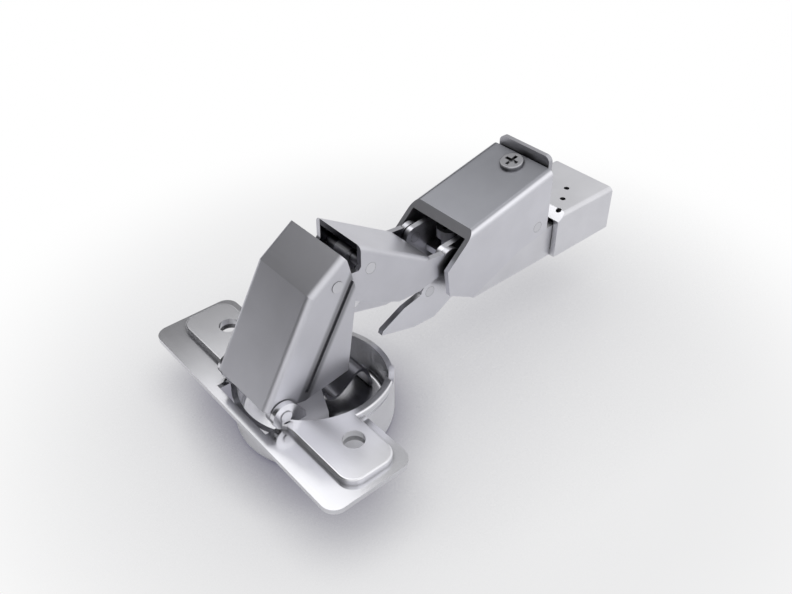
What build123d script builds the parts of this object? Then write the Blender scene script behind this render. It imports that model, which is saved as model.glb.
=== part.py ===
from build123d import *
import math
import os

# Wide-opening concealed cabinet hinge, shown with the door open by a right angle.
# Drawing frame in mm: x runs from the front edge of the door plate toward the cabinet arm,
# y along the hinge axis, z up from the top of the door plate. At the end everything is moved
# so that the origin lies midway between the base's two screw holes, on its underside.
ORIGIN_X = 84.0
ORIGIN_Z = 3.4

# Pivots of the linkage as (x, z). Outer link, inner link and arm stay parallel to each other,
# and mid link and control link stay parallel to the cup.
CUP_OUTER = (6.4, 3.0)
KNEE = (21.5, 26.5)
LINK_SPAN = (9.5, -1.0)
ARM_PIVOT = (53.1, 17.0)
CRANK = 8.5

# Layers across the hinge axis, as half widths, from the ears outward to the centre inward.
EAR_T = 1.2
OUTER_HALF = 8.85
OUTER_T = 1.5
MID_T = 1.3
INNER_EAR_T = 1.35
SIDE_GAP = 0.15
CORE_GAP = 0.205
CONTROL_T = 1.3
RAIL_GAP = 0.65
RAIL_T = 1.6
RAIL_FIT = 0.3
ARM_T = 1.2
LEVER_SIDE_GAP = 0.7

# Pins
PIN_R = 1.25
RUN = 0.05
PIN_PROUD = 0.25

# Door side
STRIP_T = 1.2
STRIP_DEPTH = 20.0
STRIP_HALF = 33.0
STRIP_ROUND = 3.0
WING_T = 1.5
WING_FRONT = 5.8
WING_REAR = 18.0
WING_HALF = 31.0
WING_ROUND = 3.5
HOLE_X = 13.5
HOLE_SPACING = 45.0
HOLE_R = 2.3
CUP_X = 20.0
CUP_R = 17.5
CUP_WALL = 1.2
CUP_DEPTH = 11.5
CUP_FILLET = 2.0
RIM_R = 18.0
PLATE_FIT = 0.1
NOTCH_FRONT = 2.0
NOTCH_DEPTH = 2.6
REAR_NOTCH_HALF = 9.2
REAR_NOTCH_DEPTH = 3.0
RIM_CUT = 9.5
NECK_IN = 0.2
NECK_BELOW = 0.2
EAR_R = 3.0
EAR_REAR = 11.0
BRACKET_T = 1.5
LUG_T = 2.0
LUG_R = 2.4
LUG_FRONT = 11.5
LUG_REAR = 20.5
SPRING_T = 0.8
SPRING_HALF = 3.0

# Outer link
FOOT = (2.6, 5.0)
BEND = (15.2, 26.9)
HEAD = (23.4, 32.5)
OUTER_WEB = 1.3
OUTER_BEND_R = 1.4
OUTER_BOSS = 2.9
GROOVE_LOW = (12.4, 4.6)
GROOVE_HIGH = (25.2, 26.4)
GROOVE_W = 0.9
GROOVE_DEEP = 0.5

# Mid link
SADDLE_FRONT = (28.7, 31.6)
SADDLE_REAR = (47.6, 19.9)
MID_WEB = 1.2
MID_BEND_R = 1.1
MID_BOSS = 2.3
MID_ARM_BOSS = 2.8

# Inner and control links
INNER_FOOT_R = 2.6
INNER_HEAD_R = 2.4
INNER_NECK = 1.2
CONTROL_BOSS = 2.2
CONTROL_WAIST = 1.3
CONTROL_WEB_FROM = 5.5
CONTROL_WEB_TO = 10.0

# Arm
ARM_BEND_R = 1.6
COVER_FRONT = (57.7, 23.4)
COVER_REAR_X = 82.0
COVER_TILT = 13.0
ARM_BOSS = 2.6
INNER_WEB_Z = 20.6
INNER_WEB_T = 1.4
INNER_REAR = 77.0
SIDE_SCREW_X = 59.5
SIDE_HEAD_R = 3.0
SIDE_HEAD_Z = 19.4
SIDE_BRIDGE_Z = 12.0
BRIDGE_T = 1.6
SCREW_R = 1.85
SCREW_FIT = 0.1
DEPTH_SCREW_X = 78.6
DEPTH_HEAD_R = 2.8
DEPTH_HEAD_T = 0.9
DEPTH_SHANK = 6.0
CROSS_W = 0.8
CROSS_DEEP = 0.6

# Release lever
LEVER_PIVOT = (78.6, 15.5)
LEVER_BEHIND = 0.4
LEVER_T = 1.2
LEVER_TOP = 31.3
TONGUE_HALF = 5.0
TOE_LENGTH = 5.2
TOE_Z = 7.4
TOE_T = 1.5
CHEEK_T = 1.4
CHEEK_R = 2.4
COIL_WIRE = 0.35
COIL_R = 1.9
COIL_PITCH = 0.9
COIL_TURNS = 5

# Mounting base
BASE_FRONT = 60.0
BASE_TOP = 14.9
BASE_FLOOR = 1.6
TAIL_BEHIND = 3.8
TAIL_LENGTH = 20.4
TAIL_T = 1.4
BASE_SCREW_SPACING = 32.0
BASE_SCREW_R = 2.3
CATCH_OUT = 0.6
CATCH_T = 1.8
CATCH_Z = 9.5
CATCH_H = 2.0
DOT_R = 0.7


def add(p, q, k=1.0):
    """Point p moved by k times q."""
    return (p[0] + k * q[0], p[1] + k * q[1])


def unit(p, q):
    """Direction from p to q."""
    d = math.dist(p, q)
    return ((q[0] - p[0]) / d, (q[1] - p[1]) / d)


CUP_INNER = add(CUP_OUTER, LINK_SPAN)
INNER_HEAD = add(KNEE, LINK_SPAN)
LEG = unit(INNER_HEAD, CUP_INNER)
CONTROL_HEAD = add(INNER_HEAD, LEG, CRANK)
CONTROL_TAIL = add(ARM_PIVOT, LEG, CRANK)
OUTER_IN = OUTER_HALF - OUTER_T
MID_HALF = OUTER_IN - SIDE_GAP
MID_IN = MID_HALF - MID_T
IEAR_HALF = MID_IN - SIDE_GAP
IEAR_IN = IEAR_HALF - INNER_EAR_T
LUG_HALF = IEAR_IN - 1.3 * SIDE_GAP
LUG_IN = LUG_HALF - LUG_T
CORE_HALF = LUG_IN - CORE_GAP
EAR_IN = OUTER_HALF + 1.3 * SIDE_GAP
EAR_HALF = EAR_IN + EAR_T
CONTROL_IN = CORE_HALF + 1.3 * SIDE_GAP
CONTROL_HALF = CONTROL_IN + CONTROL_T
RAIL_IN = IEAR_HALF + RAIL_GAP
RAIL_HALF = RAIL_IN + RAIL_T
ARM_IN = RAIL_HALF + RAIL_FIT
ARM_HALF = ARM_IN + ARM_T
TAIL_HALF = ARM_HALF
LEVER_HALF = ARM_IN - LEVER_SIDE_GAP
LEVER_X = COVER_REAR_X + LEVER_BEHIND
TOE_X = LEVER_X + TOE_LENGTH
TAIL_X = LEVER_X + TAIL_BEHIND
BASE_REAR = TAIL_X + TAIL_LENGTH
CATCH_X = TAIL_X - CATCH_OUT
TILT = math.radians(COVER_TILT)
ALONG = (math.cos(TILT), math.sin(TILT))
CUP_FLOOR = -STRIP_T - CUP_DEPTH


def prism(face, y0, y1):
    """A side outline (x, z) given thickness from y0 to y1."""
    return Pos(0, y1, 0) * extrude(Plane.XZ * face, amount=y1 - y0)


def outline(*points):
    """A flat face through the points."""
    return make_face(Polyline(*points, close=True))


def disc(p, r):
    return Pos(p[0], p[1]) * Circle(r)


def bar(p, q, rp, rq):
    """A link outline: two round ends joined by their outer tangents."""
    return make_hull(disc(p, rp).edges() + disc(q, rq).edges())


def pair(face, y0, y1):
    """The outline on both sides of the middle."""
    one = prism(face, y0, y1)
    return one + mirror(one, about=Plane.XZ)


def stubs(p, r, y0, y1):
    """Two short pins, one on each side."""
    one = prism(disc(p, r), y0, y1)
    return Compound(children=[one.solid(), mirror(one, about=Plane.XZ).solid()])


def block(x0, x1, half, z0, z1):
    return Pos((x0 + x1) / 2, 0, (z0 + z1) / 2) * Box(x1 - x0, 2 * half, z1 - z0)


def bore(p, r, half=EAR_HALF + 1.0):
    return prism(disc(p, r + RUN), -half, half)


def wing_outline(x0, x1, half, r):
    return Pos((x0 + x1) / 2, 0) * RectangleRounded(x1 - x0, 2 * half, r)


def wing_holes():
    holes = [Pos(HOLE_X, s * HOLE_SPACING / 2, 0) * Cylinder(HOLE_R, 20.0) for s in (-1, 1)]
    return holes[0] + holes[1]


def hinge_cup():
    wing = wing_outline(WING_FRONT, WING_REAR, WING_HALF, WING_ROUND)
    flange = extrude(wing + Pos(CUP_X, 0) * Circle(RIM_R), amount=WING_T)
    flange = fillet(flange.edges().group_by(Axis.Z)[-1], 0.4)
    barrel = Pos(CUP_X, 0, CUP_FLOOR) * extrude(Circle(CUP_R), amount=WING_T - CUP_FLOOR)
    barrel = fillet(barrel.edges().group_by(Axis.Z)[0], CUP_FILLET)
    neck = Pos(CUP_X, 0, -STRIP_T - NECK_BELOW) * extrude(Circle(2 * CUP_R) - Circle(CUP_R - NECK_IN),
                                                          amount=STRIP_T + NECK_BELOW)
    barrel -= neck
    room = Pos(CUP_X, 0, CUP_FLOOR + CUP_WALL) * extrude(Circle(CUP_R - CUP_WALL), amount=40.0)
    room = fillet(room.edges().group_by(Axis.Z)[0], CUP_FILLET - CUP_WALL + 0.4)
    cup = flange + barrel - room
    cup -= block(NOTCH_FRONT, CUP_X - CUP_R / 3, EAR_IN, -NOTCH_DEPTH, 10.0)
    cup -= block(CUP_X + CUP_R / 2, CUP_X + 2 * CUP_R, REAR_NOTCH_HALF, -REAR_NOTCH_DEPTH, 10.0)
    cup -= block(CUP_X + RIM_CUT, CUP_X + 2 * CUP_R, CUP_R + CUP_WALL, -STRIP_T, 10.0)
    foot = outline((WING_FRONT, 0), (EAR_REAR, 0), (EAR_REAR, WING_T), (WING_FRONT, WING_T))
    ear = make_hull(disc(CUP_OUTER, EAR_R).edges() + foot.edges())
    cup += pair(ear, EAR_IN, EAR_HALF)
    return cup - bore(CUP_OUTER, PIN_R) - wing_holes()


def door_plate():
    strip = extrude(wing_outline(0, STRIP_DEPTH, STRIP_HALF, STRIP_ROUND), amount=-STRIP_T)
    strip -= Pos(CUP_X, 0, 0) * Cylinder(CUP_R + PLATE_FIT, 10.0)
    strip -= block(NOTCH_FRONT, STRIP_DEPTH, EAR_IN, -5.0, 5.0)
    return strip - wing_holes()


def cup_bracket():
    floor = CUP_FLOOR + CUP_WALL
    plate = block(LUG_FRONT, LUG_REAR, LUG_HALF, floor, floor + BRACKET_T)
    foot = outline((LUG_FRONT, floor), (LUG_REAR, floor), (LUG_REAR, floor + BRACKET_T),
                   (LUG_FRONT, floor + BRACKET_T))
    lug = make_hull(disc(CUP_INNER, LUG_R).edges() + foot.edges())
    return plate + pair(lug, LUG_IN, LUG_HALF) - bore(CUP_INNER, PIN_R)


def closing_spring():
    floor = CUP_FLOOR + CUP_WALL
    arch = Spline((LUG_REAR + 13.0, floor + SPRING_T / 2), (LUG_REAR + 8.0, floor + 6.0),
                  (LUG_REAR + 3.0, floor + 3.0), (LUG_REAR + SPRING_T / 2, floor + 5.5))
    strip = trace(arch, SPRING_T)
    return prism(strip, -SPRING_HALF, SPRING_HALF)


def outer_link():
    low = unit(FOOT, BEND)
    high = unit(BEND, HEAD)
    rear_high = (26.0, 23.4)
    rear_low = (23.0, 4.2)
    side = outline(FOOT, BEND, HEAD, add(HEAD, (0.7, -1.0)), (25.0, 27.8), rear_high, rear_low,
                   (12.0, 2.6))
    shell = prism(side, -OUTER_HALF, OUTER_HALF)
    front = [e for e in shell.edges() if abs(e.center().Y) > OUTER_HALF - 0.01
             and e.center().X < (BEND[0] + HEAD[0]) / 2 + 0.1 and e.center().Z > BEND[1] / 2]
    shell = fillet(front, OUTER_BEND_R)
    shell += pair(disc(CUP_OUTER, OUTER_BOSS), OUTER_IN, OUTER_HALF)
    inward = (low[1] * OUTER_WEB, -low[0] * OUTER_WEB)
    top_in = (high[1] * OUTER_WEB, -high[0] * OUTER_WEB)
    knee_in = add(BEND, (OUTER_WEB * 1.05, -OUTER_WEB * 0.75))
    hollow = outline(add(add(FOOT, inward), low, -20.0), knee_in, add(add(HEAD, top_in), high, 20.0),
                     (60.0, -20.0))
    shell -= prism(hollow, -OUTER_IN, OUTER_IN)
    line = unit(GROOVE_LOW, GROOVE_HIGH)
    across = (line[1] * GROOVE_W / 2, -line[0] * GROOVE_W / 2)
    groove = outline(add(GROOVE_LOW, across), add(GROOVE_HIGH, across), add(GROOVE_HIGH, across, -1),
                     add(GROOVE_LOW, across, -1))
    shell -= pair(groove, OUTER_HALF - GROOVE_DEEP, OUTER_HALF + 1.0)
    return shell - bore(CUP_OUTER, PIN_R) - bore(KNEE, PIN_R)


def mid_link():
    slope = unit(SADDLE_FRONT, SADDLE_REAR)
    down = (slope[1] * MID_WEB, -slope[0] * MID_WEB)
    side = outline(SADDLE_FRONT, SADDLE_REAR, (51.0, 19.6), (51.5, 14.6), (44.0, 13.0), (38.4, 13.2),
                   (33.0, 16.0), (29.6, 17.7), (26.6, 19.6), (24.8, 22.4), (28.6, 27.0))
    shell = prism(side, -MID_HALF, MID_HALF)
    top = [e for e in shell.edges() if abs(e.center().Y) > MID_HALF - 0.01
           and abs(e.center().X - (SADDLE_FRONT[0] + SADDLE_REAR[0]) / 2) < 0.1]
    shell = fillet(top, MID_BEND_R)
    neck = outline(add(KNEE, (0, 0.6)), (28.7, 26.2), (28.7, 24.0), add(KNEE, (0, -1.9)))
    walls = neck + disc(KNEE, MID_BOSS) + disc(INNER_HEAD, MID_BOSS) + disc(ARM_PIVOT, MID_ARM_BOSS)
    shell += pair(walls, MID_IN, MID_HALF)
    under = add(SADDLE_REAR, down)
    hollow = outline(add(add(SADDLE_FRONT, down), slope, -20.0), under, add(under, down, -20.0),
                     (70.0, 40.0), (70.0, 0.0), (0.0, 0.0))
    shell -= prism(hollow, -MID_IN, MID_IN)
    for p in (KNEE, INNER_HEAD, ARM_PIVOT):
        shell -= bore(p, PIN_R)
    return shell


def inner_link():
    side = bar(CUP_INNER, CONTROL_HEAD, INNER_FOOT_R, INNER_HEAD_R)
    side += bar(CONTROL_HEAD, INNER_HEAD, INNER_NECK, INNER_NECK) + disc(INNER_HEAD, INNER_HEAD_R)
    link = prism(side, -CORE_HALF, CORE_HALF)
    for p in (CUP_INNER, CONTROL_HEAD, INNER_HEAD):
        link -= bore(p, PIN_R)
    return link


def control_link():
    line = unit(CONTROL_TAIL, CONTROL_HEAD)
    up = (-line[1], line[0]) if line[0] > 0 else (line[1], -line[0])
    side = bar(CONTROL_TAIL, CONTROL_HEAD, CONTROL_WAIST, CONTROL_WAIST)
    side += disc(CONTROL_TAIL, CONTROL_BOSS) + disc(CONTROL_HEAD, CONTROL_BOSS)
    near = add(CONTROL_TAIL, line, CONTROL_WEB_FROM)
    far = add(CONTROL_TAIL, line, CONTROL_WEB_TO)
    web = outline(add(near, up, 0.2), add(far, up, 0.2), add(far, up, CONTROL_WAIST),
                  add(near, up, CONTROL_WAIST))
    link = pair(side, CONTROL_IN, CONTROL_HALF) + prism(web, -CONTROL_HALF, CONTROL_HALF)
    return link - bore(CONTROL_TAIL, PIN_R) - bore(CONTROL_HEAD, PIN_R)


def arm_inner():
    side = outline((34.7, 4.9), (44.0, 2.2), (50.0, 2.0), (56.5, 5.6), (INNER_REAR, 5.6),
                   (INNER_REAR, INNER_WEB_Z), (63.0, INNER_WEB_Z), (53.1, 19.6), (50.5, 17.4), (50.0, 15.4), (48.1, 12.4),
                   (45.9, 10.2), (41.0, 9.0), (35.0, 5.9))
    side += disc(ARM_PIVOT, ARM_BOSS) + disc(CONTROL_TAIL, ARM_BOSS)
    arm = pair(side, IEAR_IN, IEAR_HALF)
    arm += block(63.0, INNER_REAR, ARM_IN, INNER_WEB_Z - INNER_WEB_T, INNER_WEB_Z)
    arm += block(SIDE_SCREW_X - 3.0, SIDE_SCREW_X + 3.0, IEAR_HALF, SIDE_BRIDGE_Z,
                 SIDE_BRIDGE_Z + BRIDGE_T)
    arm -= Pos(SIDE_SCREW_X, 0, SIDE_BRIDGE_Z) * Cylinder(SCREW_R + SCREW_FIT, 10.0)
    return arm - bore(ARM_PIVOT, PIN_R) - bore(CONTROL_TAIL, PIN_R)


def cover_point(x, depth=0.0):
    """A point on the cover's top line at x, sunk square to it by depth."""
    z = COVER_FRONT[1] + (x - COVER_FRONT[0]) * math.tan(TILT)
    return (x + depth * ALONG[1], z - depth * ALONG[0])


def cross_cut(r):
    """The cross slot of a screw head, sunk from the top plane z = 0."""
    slot = Box(2 * r * 0.62, CROSS_W, 2 * CROSS_DEEP)
    return slot + Rot(0, 0, 90) * slot


def arm_channel():
    rear = cover_point(COVER_REAR_X)
    side = outline((50.1, 16.2), COVER_FRONT, rear, (COVER_REAR_X, 13.0), (73.2, 11.5), (58.4, 5.4),
                   (51.0, 9.5))
    shell = prism(side, -ARM_HALF, ARM_HALF)
    top = [e for e in shell.edges() if abs(e.center().Y) > ARM_HALF - 0.01
           and abs(e.center().X - (COVER_FRONT[0] + COVER_REAR_X) / 2) < 0.1]
    top = [max(top, key=lambda e: e.center().Z + e.center().Y / 100),
           max(top, key=lambda e: e.center().Z - e.center().Y / 100)]
    shell = fillet(top, ARM_BEND_R)
    hollow = outline(cover_point(30.0, ARM_T), cover_point(COVER_REAR_X + 20.0, ARM_T),
                     (COVER_REAR_X + 20.0, -10.0), (30.0, -10.0))
    shell -= prism(hollow, -ARM_IN, ARM_IN)
    p = cover_point(DEPTH_SCREW_X)
    shell -= Pos(p[0], 0, p[1]) * Rot(0, -COVER_TILT, 0) * Cylinder(SCREW_R + SCREW_FIT, 8.0)
    return shell - bore(LEVER_PIVOT, PIN_R, ARM_HALF + 1.0)


def side_screw():
    head = Cylinder(SIDE_HEAD_R, 2.2, align=(Align.CENTER, Align.CENTER, Align.MAX))
    head -= cross_cut(SIDE_HEAD_R)
    shank = Cylinder(SCREW_R, SIDE_HEAD_Z - 8.0, align=(Align.CENTER, Align.CENTER, Align.MAX))
    return Pos(SIDE_SCREW_X, 0, SIDE_HEAD_Z) * (head + Pos(0, 0, -1.0) * shank)


def depth_screw():
    up = (Align.CENTER, Align.CENTER, Align.MIN)
    head = Cylinder(DEPTH_HEAD_R, DEPTH_HEAD_T, align=up)
    head = fillet(head.edges().group_by(Axis.Z)[-1], 0.3)
    head -= Pos(0, 0, DEPTH_HEAD_T) * cross_cut(DEPTH_HEAD_R)
    shank = Pos(0, 0, -DEPTH_SHANK) * Cylinder(SCREW_R, DEPTH_SHANK + 0.2, align=up)
    p = cover_point(DEPTH_SCREW_X)
    return Pos(p[0], 0, p[1]) * Rot(0, -COVER_TILT, 0) * (head + shank)


def release_lever():
    plate = block(LEVER_X, LEVER_X + LEVER_T, LEVER_HALF, 13.0, LEVER_TOP)
    corners = [e for e in plate.edges().filter_by(Axis.X) if e.center().Z > LEVER_TOP - 0.1]
    plate = fillet(corners, 1.5)
    plate += block(LEVER_X, LEVER_X + LEVER_T, TONGUE_HALF, TOE_Z, 14.0)
    plate += block(LEVER_X, TOE_X, TONGUE_HALF, TOE_Z, TOE_Z + TOE_T)
    back = outline((LEVER_X, 13.1), (LEVER_X + 0.1, 13.1), (LEVER_X + 0.1, 19.0), (LEVER_X, 19.0))
    cheek = make_hull(disc(LEVER_PIVOT, CHEEK_R).edges() + back.edges())
    plate += pair(cheek, LEVER_HALF - CHEEK_T, LEVER_HALF)
    return plate - bore(LEVER_PIVOT, PIN_R)


def lever_spring():
    """Torsion coil around the lever's pin, with one leg under the inner channel's web."""
    half = COIL_PITCH * COIL_TURNS / 2
    coil = Helix(COIL_PITCH, 2 * half, COIL_R, direction=(0, 1, 0))
    coil = Pos(LEVER_PIVOT[0], -half, LEVER_PIVOT[1]) * coil
    start = coil @ 0
    wire = sweep(Plane(origin=start, z_dir=coil % 0) * Circle(COIL_WIRE), path=coil)
    return wire


def mounting_base():
    z0 = ORIGIN_Z
    floor = block(BASE_FRONT, TAIL_X + 1.0, RAIL_HALF, z0, z0 + BASE_FLOOR)
    rail = outline((BASE_FRONT, z0), (TAIL_X + 1.0, z0), (TAIL_X + 1.0, 12.2), (73.0, 10.8),
                   (BASE_FRONT, 6.4))
    base = floor + pair(rail, RAIL_IN, RAIL_HALF)
    side = outline((TAIL_X, z0), (BASE_REAR, z0), (BASE_REAR, BASE_TOP), (TAIL_X + 2.9, BASE_TOP),
                   (TAIL_X, BASE_TOP - 1.4))
    tail = prism(side, -TAIL_HALF, TAIL_HALF)
    tail = fillet(tail.edges().filter_by(Axis.X).group_by(Axis.Z)[-1], 1.2)
    tail -= block(TAIL_X - 1.0, BASE_REAR - TAIL_T, TAIL_HALF - TAIL_T, z0 + BASE_FLOOR,
                  BASE_TOP - TAIL_T)
    base += tail
    base -= block(TAIL_X - 0.5, TAIL_X + 1.5, RAIL_IN, z0 + BASE_FLOOR, BASE_TOP - TAIL_T)
    base += block(CATCH_X, CATCH_X + CATCH_T, RAIL_HALF, CATCH_Z, CATCH_Z + CATCH_H)
    for s in (-1, 1):
        base -= Pos(ORIGIN_X + s * BASE_SCREW_SPACING / 2, 0, z0) * Cylinder(BASE_SCREW_R, 8.0)
    for k in range(3):
        base -= Pos(97.8 - 4.5 * k, -2.0 - 2.6 * k, BASE_TOP) * Cylinder(DOT_R, 8.0)
    return base


def cup_rivets():
    return stubs(CUP_OUTER, PIN_R, OUTER_IN, EAR_HALF + PIN_PROUD)


def inner_link_pin():
    return prism(disc(CUP_INNER, PIN_R), -LUG_HALF, LUG_HALF)


def knee_rivets():
    return stubs(KNEE, PIN_R, MID_IN, OUTER_HALF + PIN_PROUD / 2)


def mid_link_pin():
    return prism(disc(INNER_HEAD, PIN_R), -MID_HALF, MID_HALF)


def control_pin():
    return prism(disc(CONTROL_HEAD, PIN_R), -CONTROL_HALF, CONTROL_HALF)


def arm_rivets():
    return stubs(ARM_PIVOT, PIN_R, IEAR_IN, MID_HALF)


def crank_pins():
    return stubs(CONTROL_TAIL, PIN_R, CONTROL_IN, IEAR_HALF)


def lever_pin():
    return prism(disc(LEVER_PIVOT, PIN_R), -ARM_HALF, ARM_HALF)


PIECES = (hinge_cup, door_plate, cup_bracket, closing_spring, cup_rivets, inner_link_pin, outer_link,
          knee_rivets, mid_link, mid_link_pin, inner_link, control_pin, control_link, crank_pins,
          arm_inner, arm_rivets, arm_channel, side_screw, depth_screw, release_lever, lever_pin,
          lever_spring, mounting_base)

os.makedirs("parts", exist_ok=True)
for piece in PIECES:
    shape = Pos(-ORIGIN_X, 0, -ORIGIN_Z) * piece()
    export_step(shape, f"parts/{piece.__name__}.step")
    box = shape.bounding_box()
    print(piece.__name__, len(shape.solids()), round(shape.volume, 1), box.min, box.max)
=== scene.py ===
import math

import bpy
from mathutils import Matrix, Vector


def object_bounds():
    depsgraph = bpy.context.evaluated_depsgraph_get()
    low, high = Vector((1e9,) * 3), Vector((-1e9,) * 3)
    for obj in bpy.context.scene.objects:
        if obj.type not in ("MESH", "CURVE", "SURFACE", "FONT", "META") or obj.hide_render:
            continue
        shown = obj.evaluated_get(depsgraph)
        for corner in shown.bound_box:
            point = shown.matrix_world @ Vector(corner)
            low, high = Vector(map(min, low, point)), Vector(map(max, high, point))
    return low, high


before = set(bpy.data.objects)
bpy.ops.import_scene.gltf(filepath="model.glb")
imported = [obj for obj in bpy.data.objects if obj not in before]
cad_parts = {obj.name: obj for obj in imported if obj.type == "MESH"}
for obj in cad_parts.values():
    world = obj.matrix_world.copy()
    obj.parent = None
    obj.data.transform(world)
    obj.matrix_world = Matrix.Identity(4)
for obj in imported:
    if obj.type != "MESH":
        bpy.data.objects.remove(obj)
cad_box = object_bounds()
MM = 0.001
WHITE = (1.0, 1.0, 1.0, 1.0)

# Camera of the photograph: seen from the door side, above and to the near end of the hinge axis.
CAM_AZIMUTH = -40.5
CAM_ELEVATION = 38.4
CAM_ROLL = -0.3
CAM_DISTANCE = 187.0 * MM
CAM_TARGET = Vector((-40.4, 0.0, 4.0)) * MM
CAM_CLIP = 5.0 * MM
LENS = 38.2
SENSOR = 36.0

# The floor lies under the cup. The camera looks through it as through white glass, so that a part that swings below
# it in another pose still shows. It carries a painted shade that is a little grey near the hinge and fades to white
# further off.
FLOOR_Z = cad_box[0][2] - 0.05 * MM
FLOOR_HALF = 3.0
PAPER = (0.88, 0.88, 0.885)
PAPER_ROUGH = 0.9
PAPER_SPECULAR = 0.1
NEAR_TONE = (0.84, 0.84, 0.845)
FADE_CENTRE = (-38.0 * MM, -8.0 * MM)
FADE_INNER = 62.0 * MM
FADE_OUTER = 125.0 * MM
# Shadow on the floor: a close one around the foot and a wide one under the arm, as reach and darkest share.
SHADOWS = ((14.0 * MM, 0.28), (55.0 * MM, 0.40))
SHADOW_DEEP = 0.15
SHADOW_TINT = (0.012, 0.006, 0.075)
SHADOW_SAMPLES = 8
# The shadow fades out where a part is below the floor: how far down it looks, and the open share from where to where.
UNDER_REACH = 60.0 * MM
UNDER_OPEN = (0.75, 0.99)

# Dark cards that the polished faces mirror: direction, where each starts and is full, and its tone.
DARK_CARDS = (
    ((-0.79, 0.60, 0.10), 0.25, 0.90, 0.04),
    ((0.30, 0.80, 0.52), 0.80, 0.99, 0.18),
)
# Below the horizon the studio has an even tone, which shows only in parts that swing under the floor.
LOW_START = -0.02
LOW_FULL = -0.14
LOW_TONE = 0.62
# The light that the studio throws on the paper.
STUDIO_TONE = (0.74, 0.74, 0.75)
# Soft lamps: place and aim in metres, width and height, and power in watts.
LAMPS = {
    "key": ((-0.02, 0.27, 0.45), (-0.05, 0.0, 0.0), (0.32, 0.32), 0.36),
    "fill": ((0.10, -0.45, 0.40), (-0.04, 0.0, 0.0), (0.5, 0.4), 0.25),
}

# Rolled sheet: noise scale across and along the grain, cloud scale, and how far tone and gloss wander.
GRAIN_ACROSS = 5200.0
GRAIN_ALONG = 60.0
GRAIN_DETAIL = 3.0
CLOUD_SCALE = 110.0
CLOUD_DETAIL = 4.0
NOISE_SPAN = (0.3, 0.7)
TONE_WANDER = 0.04
GLOSS_WANDER = 0.07
RIPPLE = 0.006
RIPPLE_DEPTH = 0.05 * MM
# Painted shade in crevices: the open share at which it is darkest and at which it ends.
CREVICE_SHADE_SPAN = (0.20, 0.75)
CREVICE_SHADE_SAMPLES = 6
EDGE = 0.16 * MM
EDGE_SEGMENTS = 2
EDGE_ANGLE = 35.0

# Where a piece has a second, darker tone painted as shade: the cover's top, the inside of the saddle, the groove
# beside the outer link.
COVER_NORMAL = (-0.225, 0.0, 0.974)
COVER_FACING = (0.80, 0.97)
SADDLE_HALF = 5.95 * MM
SADDLE_SOFT = 0.08 * MM
SADDLE_NORMAL = (0.527, 0.0, 0.850)
SADDLE_FACING = (0.3, 0.6)
GROOVE_POINT = (-71.6 * MM, 0.0, 1.2 * MM)
GROOVE_NORMAL = (0.862, 0.0, -0.506)
GROOVE_INNER = 0.9 * MM
GROOVE_OUTER = 1.9 * MM


class Graph:
    """Short calls that add a node to a material or world and give its output socket."""

    def __init__(self, owner):
        owner.use_nodes = True
        self.nodes = owner.node_tree.nodes
        self.links = owner.node_tree.links

    def add(self, kind):
        return self.nodes.new("ShaderNode" + kind)

    def feed(self, socket, value):
        """Link another node's output to a socket, or set the socket to a constant."""
        if isinstance(value, bpy.types.NodeSocket):
            self.links.new(value, socket)
        else:
            socket.default_value = value

    def math(self, operation, *values):
        node = self.add("Math")
        node.operation = operation
        for socket, value in zip(node.inputs, values):
            self.feed(socket, value)
        return node.outputs[0]

    def vector(self, operation, first, second, output="Vector"):
        node = self.add("VectorMath")
        node.operation = operation
        self.feed(node.inputs[0], first)
        self.feed(node.inputs["Scale" if operation == "SCALE" else 1], second)
        return node.outputs[output]

    def span(self, value, start, full, low=0.0, high=1.0, smooth=False):
        """Map value from start..full to low..high, and hold it beyond."""
        node = self.add("MapRange")
        if smooth:
            node.interpolation_type = "SMOOTHSTEP"
        node.inputs["From Min"].default_value = start
        node.inputs["From Max"].default_value = full
        node.inputs["To Min"].default_value = low
        node.inputs["To Max"].default_value = high
        self.feed(node.inputs["Value"], value)
        return node.outputs["Result"]

    def mix(self, factor, first, second, kind="RGBA"):
        node = self.add("Mix")
        node.data_type = kind
        for name, value in (("Factor", factor), ("A", first), ("B", second)):
            self.feed(node.inputs[name], value)
        return node.outputs["Result"]

    def mix_shader(self, factor, first, second):
        node = self.add("MixShader")
        for socket, value in zip(node.inputs, (factor, first, second)):
            self.feed(socket, value)
        return node.outputs["Shader"]

    def openness(self, reach, samples, inside=False):
        """Share of the room within reach of a surface that is free, above it or inside it."""
        node = self.add("AmbientOcclusion")
        node.samples = samples
        node.inside = inside
        node.inputs["Distance"].default_value = reach
        return node.outputs["AO"]

    def noise(self, vector, scale, detail):
        node = self.add("TexNoise")
        node.inputs["Scale"].default_value = scale
        node.inputs["Detail"].default_value = detail
        self.feed(node.inputs["Vector"], vector)
        return node.outputs["Fac"]

    def clear(self, colour=WHITE):
        node = self.add("BsdfTransparent")
        self.feed(node.inputs["Color"], colour)
        return node.outputs["BSDF"]

    def height_and_side(self, vector):
        node = self.add("SeparateXYZ")
        self.feed(node.inputs[0], vector)
        return node.outputs["Z"], node.outputs["Y"]


def add_camera():
    data = bpy.data.cameras.new("camera")
    data.lens = LENS
    data.sensor_width = SENSOR
    data.clip_start = CAM_CLIP
    cam = bpy.data.objects.new("camera", data)
    bpy.context.collection.objects.link(cam)
    az = math.radians(CAM_AZIMUTH)
    el = math.radians(CAM_ELEVATION)
    back = Vector((math.sin(az) * math.cos(el), -math.cos(az) * math.cos(el), math.sin(el)))
    cam.location = CAM_TARGET + back * CAM_DISTANCE
    cam.rotation_euler = back.to_track_quat("Z", "Y").to_euler()
    cam.rotation_euler.rotate_axis("Z", math.radians(CAM_ROLL))
    bpy.context.scene.camera = cam


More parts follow.
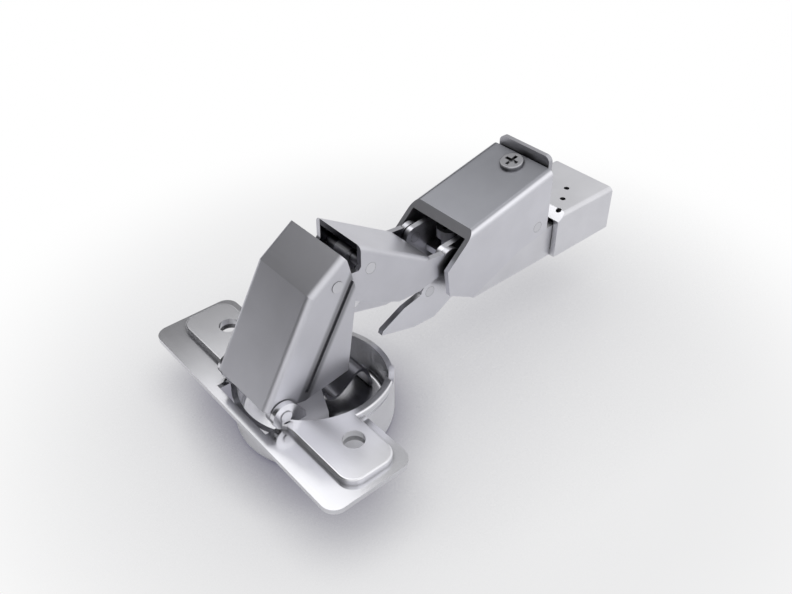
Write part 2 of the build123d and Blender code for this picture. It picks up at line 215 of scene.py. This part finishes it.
def add_lamp(name, place, aim, size, power):
    data = bpy.data.lights.new(name, "AREA")
    data.shape = "RECTANGLE"
    data.size, data.size_y = size
    data.energy = power
    lamp = bpy.data.objects.new(name, data)
    bpy.context.collection.objects.link(lamp)
    lamp.location = place
    lamp.rotation_euler = (Vector(place) - Vector(aim)).to_track_quat("Z", "Y").to_euler()


def add_world():
    """White to the camera and in the metal, with dark cards that only the metal shows."""
    world = bpy.data.worlds.new("studio")
    bpy.context.scene.world = world
    g = Graph(world)
    ray = g.add("TexCoord").outputs["Generated"]
    path = g.add("LightPath").outputs
    cards = g.math("MULTIPLY", *(
        g.span(g.vector("DOT_PRODUCT", ray, centre, "Value"), start, full, 1.0, darkest, smooth=True)
        for centre, start, full, darkest in DARK_CARDS))
    height, _ = g.height_and_side(ray)
    cards = g.math("MAXIMUM", cards, g.span(height, LOW_START, LOW_FULL, 0.0, LOW_TONE))
    white = g.mix(path["Is Camera Ray"], cards, WHITE)
    shown = g.math("MAXIMUM", path["Is Camera Ray"], path["Is Glossy Ray"])
    shown = g.math("MAXIMUM", shown, path["Is Transmission Ray"])
    g.feed(g.nodes["Background"].inputs["Color"], g.mix(shown, (*STUDIO_TONE, 1.0), white))


def floor_material():
    """Pale paper for the light, and to the camera a clear sheet that carries only the shadow."""
    mat = bpy.data.materials.new("floor_paper")
    g = Graph(mat)
    paper = g.nodes["Principled BSDF"]
    paper.inputs["Base Color"].default_value = (*PAPER, 1.0)
    paper.inputs["Roughness"].default_value = PAPER_ROUGH
    paper.inputs["Specular IOR Level"].default_value = PAPER_SPECULAR
    place = g.add("NewGeometry").outputs
    path = g.add("LightPath").outputs
    away = g.vector("DISTANCE", place["Position"], (*FADE_CENTRE, FLOOR_Z), "Value")
    painted_falloff = g.mix(g.span(away, FADE_INNER, FADE_OUTER, smooth=True), (*NEAR_TONE, 1.0), WHITE)
    shadow = g.math("MULTIPLY", *(
        g.span(g.openness(reach, SHADOW_SAMPLES), SHADOW_DEEP, 1.0, darkest, 1.0) for reach, darkest in SHADOWS))
    under = g.span(g.openness(UNDER_REACH, SHADOW_SAMPLES, inside=True), *UNDER_OPEN, smooth=True)
    shadow = g.mix(under, 1.0, shadow, "FLOAT")
    tint = g.mix(shadow, (*SHADOW_TINT, 1.0), WHITE)
    sheet = g.clear(g.vector("MULTIPLY", painted_falloff, tint))
    seen = g.mix_shader(path["Is Camera Ray"], paper.outputs["BSDF"], sheet)
    passed = g.math("MAXIMUM", place["Backfacing"], path["Is Shadow Ray"])
    g.feed(g.nodes["Material Output"].inputs["Surface"], g.mix_shader(passed, seen, g.clear()))
    return mat


def add_floor():
    mesh = bpy.data.meshes.new("floor")
    h = FLOOR_HALF
    mesh.from_pydata([(-h, -h, 0), (h, -h, 0), (h, h, 0), (-h, h, 0)], [], [(0, 1, 2, 3)])
    floor = bpy.data.objects.new("floor", mesh)
    bpy.context.collection.objects.link(floor)
    floor.location.z = FLOOR_Z
    mesh.materials.append(floor_material())


def facing_mask(g, coord, normal, start, full):
    """1 on faces that look along normal, 0 elsewhere, in the piece's own frame."""
    return g.span(g.vector("DOT_PRODUCT", coord["Normal"], normal, "Value"), start, full, smooth=True)


# Painted shade: the cover's faces that look up are painted darker than its sides.
def cover_top_shade_mask(g, coord):
    return facing_mask(g, coord, COVER_NORMAL, *COVER_FACING)


def groove_shade_mask(g, coord):
    """1 within a band along the groove's plane, fading out to both sides, where the outer link is painted darker as
    shade.
    """
    offset = g.vector("SUBTRACT", coord["Object"], GROOVE_POINT)
    gap = g.math("ABSOLUTE", g.vector("DOT_PRODUCT", offset, GROOVE_NORMAL, "Value"))
    return g.span(gap, GROOVE_OUTER, GROOVE_INNER, smooth=True)


def saddle_inside_shade_mask(g, coord):
    """1 on the faces between the walls of the saddle, but not on its outer top face: there the saddle is painted near
    black as shade.
    """
    _, side = g.height_and_side(coord["Object"])
    within = g.span(g.math("ABSOLUTE", side), SADDLE_HALF + SADDLE_SOFT, SADDLE_HALF, smooth=True)
    not_top = g.math("SUBTRACT", 1.0, facing_mask(g, coord, SADDLE_NORMAL, *SADDLE_FACING))
    return g.math("MULTIPLY", within, not_top)


def plated(name, colour, rough, grain_axis, second=None, mask=None, crevice_shade_tone=0.10, reach=4.0 * MM):
    """Plated sheet steel: fine rolling grain along one axis, cloudy tone, a faint ripple, and crevices darkened as
    painted shade.

    A second colour, a painted shade, can be laid on where the mask says so."""
    mat = bpy.data.materials.new(name)
    g = Graph(mat)
    metal = g.nodes["Principled BSDF"]
    metal.inputs["Metallic"].default_value = 1.0
    coord = g.add("TexCoord").outputs
    stretch = g.add("Mapping")
    stretch.inputs["Scale"].default_value = [GRAIN_ALONG if axis == grain_axis else GRAIN_ACROSS for axis in "XYZ"]
    g.feed(stretch.inputs["Vector"], coord["Object"])
    lines = g.noise(stretch.outputs["Vector"], 1.0, GRAIN_DETAIL)
    cloud = g.noise(coord["Object"], CLOUD_SCALE, CLOUD_DETAIL)
    tone = g.span(cloud, *NOISE_SPAN, 1.0 - TONE_WANDER, 1.0 + TONE_WANDER)
    base = g.mix(mask(g, coord), (*colour, 1.0), (*second, 1.0)) if mask else colour
    # Painted shade: the base colour darkens where little room is free, in crevices and between parts.
    crevice_shade = g.span(g.openness(reach, CREVICE_SHADE_SAMPLES), *CREVICE_SHADE_SPAN, crevice_shade_tone, 1.0)
    shaded = g.vector("SCALE", g.vector("SCALE", base, tone), crevice_shade)
    g.feed(metal.inputs["Base Color"], shaded)
    gloss = g.span(lines, *NOISE_SPAN, rough * (1.0 - GLOSS_WANDER), rough * (1.0 + GLOSS_WANDER))
    g.feed(metal.inputs["Roughness"], gloss)
    ripple = g.add("Bump")
    ripple.inputs["Strength"].default_value = RIPPLE
    ripple.inputs["Distance"].default_value = RIPPLE_DEPTH
    g.feed(ripple.inputs["Height"], lines)
    g.feed(metal.inputs["Normal"], ripple.outputs["Normal"])
    return mat


MATERIALS = {
    "bright": plated("bright_nickel", (0.74, 0.74, 0.78), 0.32, "X"),
    "flange": plated("flange_nickel", (0.76, 0.76, 0.79), 0.24, "Y", crevice_shade_tone=0.75),
    # Painted shade: the strip darkens to black within a wide reach, beside the outer link and under the raised wing.
    "strip": plated("strip_nickel", (0.70, 0.70, 0.73), 0.18, "Y", crevice_shade_tone=0.0, reach=18.0 * MM),
    # Painted shade: the outer link's nickel is darker than the other plated parts, and darker again in the band along
    # its groove.
    "link": plated("link_nickel", (0.62, 0.62, 0.66), 0.36, "Y", (0.30, 0.30, 0.32), groove_shade_mask, crevice_shade_tone=0.5),
    # Painted shade: the mid link's nickel is darker than the other plated parts, and near black inside the saddle.
    "saddle": plated("saddle_nickel", (0.61, 0.61, 0.65), 0.32, "X", (0.06, 0.06, 0.07), saddle_inside_shade_mask),
    "cover": plated("cover_nickel", (0.68, 0.68, 0.72), 0.34, "X", (0.345, 0.35, 0.38), cover_top_shade_mask),
    "lever": plated("lever_nickel", (0.45, 0.45, 0.48), 0.34, "Y"),
    "cast": plated("cast_zinc", (0.71, 0.71, 0.74), 0.36, "X"),
    "pin": plated("pin_steel", (0.66, 0.66, 0.69), 0.30, "Y"),
    "screw": plated("screw_zinc", (0.42, 0.42, 0.44), 0.34, "Z"),
    "spring": plated("spring_steel", (0.16, 0.16, 0.18), 0.35, "X"),
}
NODES_OF = {
    "flange": ("hinge_cup",),
    "strip": ("door_plate",),
    "link": ("outer_link",),
    "saddle": ("mid_link",),
    "cover": ("arm_channel",),
    "lever": ("release_lever",),
    "cast": ("mounting_base", "cup_bracket"),
    "pin": ("cup_rivets", "inner_link_pin", "knee_rivets", "mid_link_pin", "control_pin", "arm_rivets",
            "crank_pins", "lever_pin"),
    "screw": ("side_screw", "depth_screw"),
    "spring": ("closing_spring", "lever_spring"),
}
KIND_OF = {node: kind for kind, names in NODES_OF.items() for node in names}


def dress_nodes():
    """Each CAD node gets its plated material, and all but the springs softly broken edges."""
    for name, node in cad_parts.items():
        kind = KIND_OF.get(name, "bright")
        node.data.materials.clear()
        node.data.materials.append(MATERIALS[kind])
        if kind == "spring":
            continue
        edge = node.modifiers.new("broken_edges", "BEVEL")
        edge.width = EDGE
        edge.segments = EDGE_SEGMENTS
        edge.limit_method = "ANGLE"
        edge.angle_limit = math.radians(EDGE_ANGLE)


bpy.context.scene.view_settings.view_transform = "Standard"
add_camera()
add_world()
add_floor()
for lamp_name, lamp in LAMPS.items():
    add_lamp(lamp_name, *lamp)
dress_nodes()
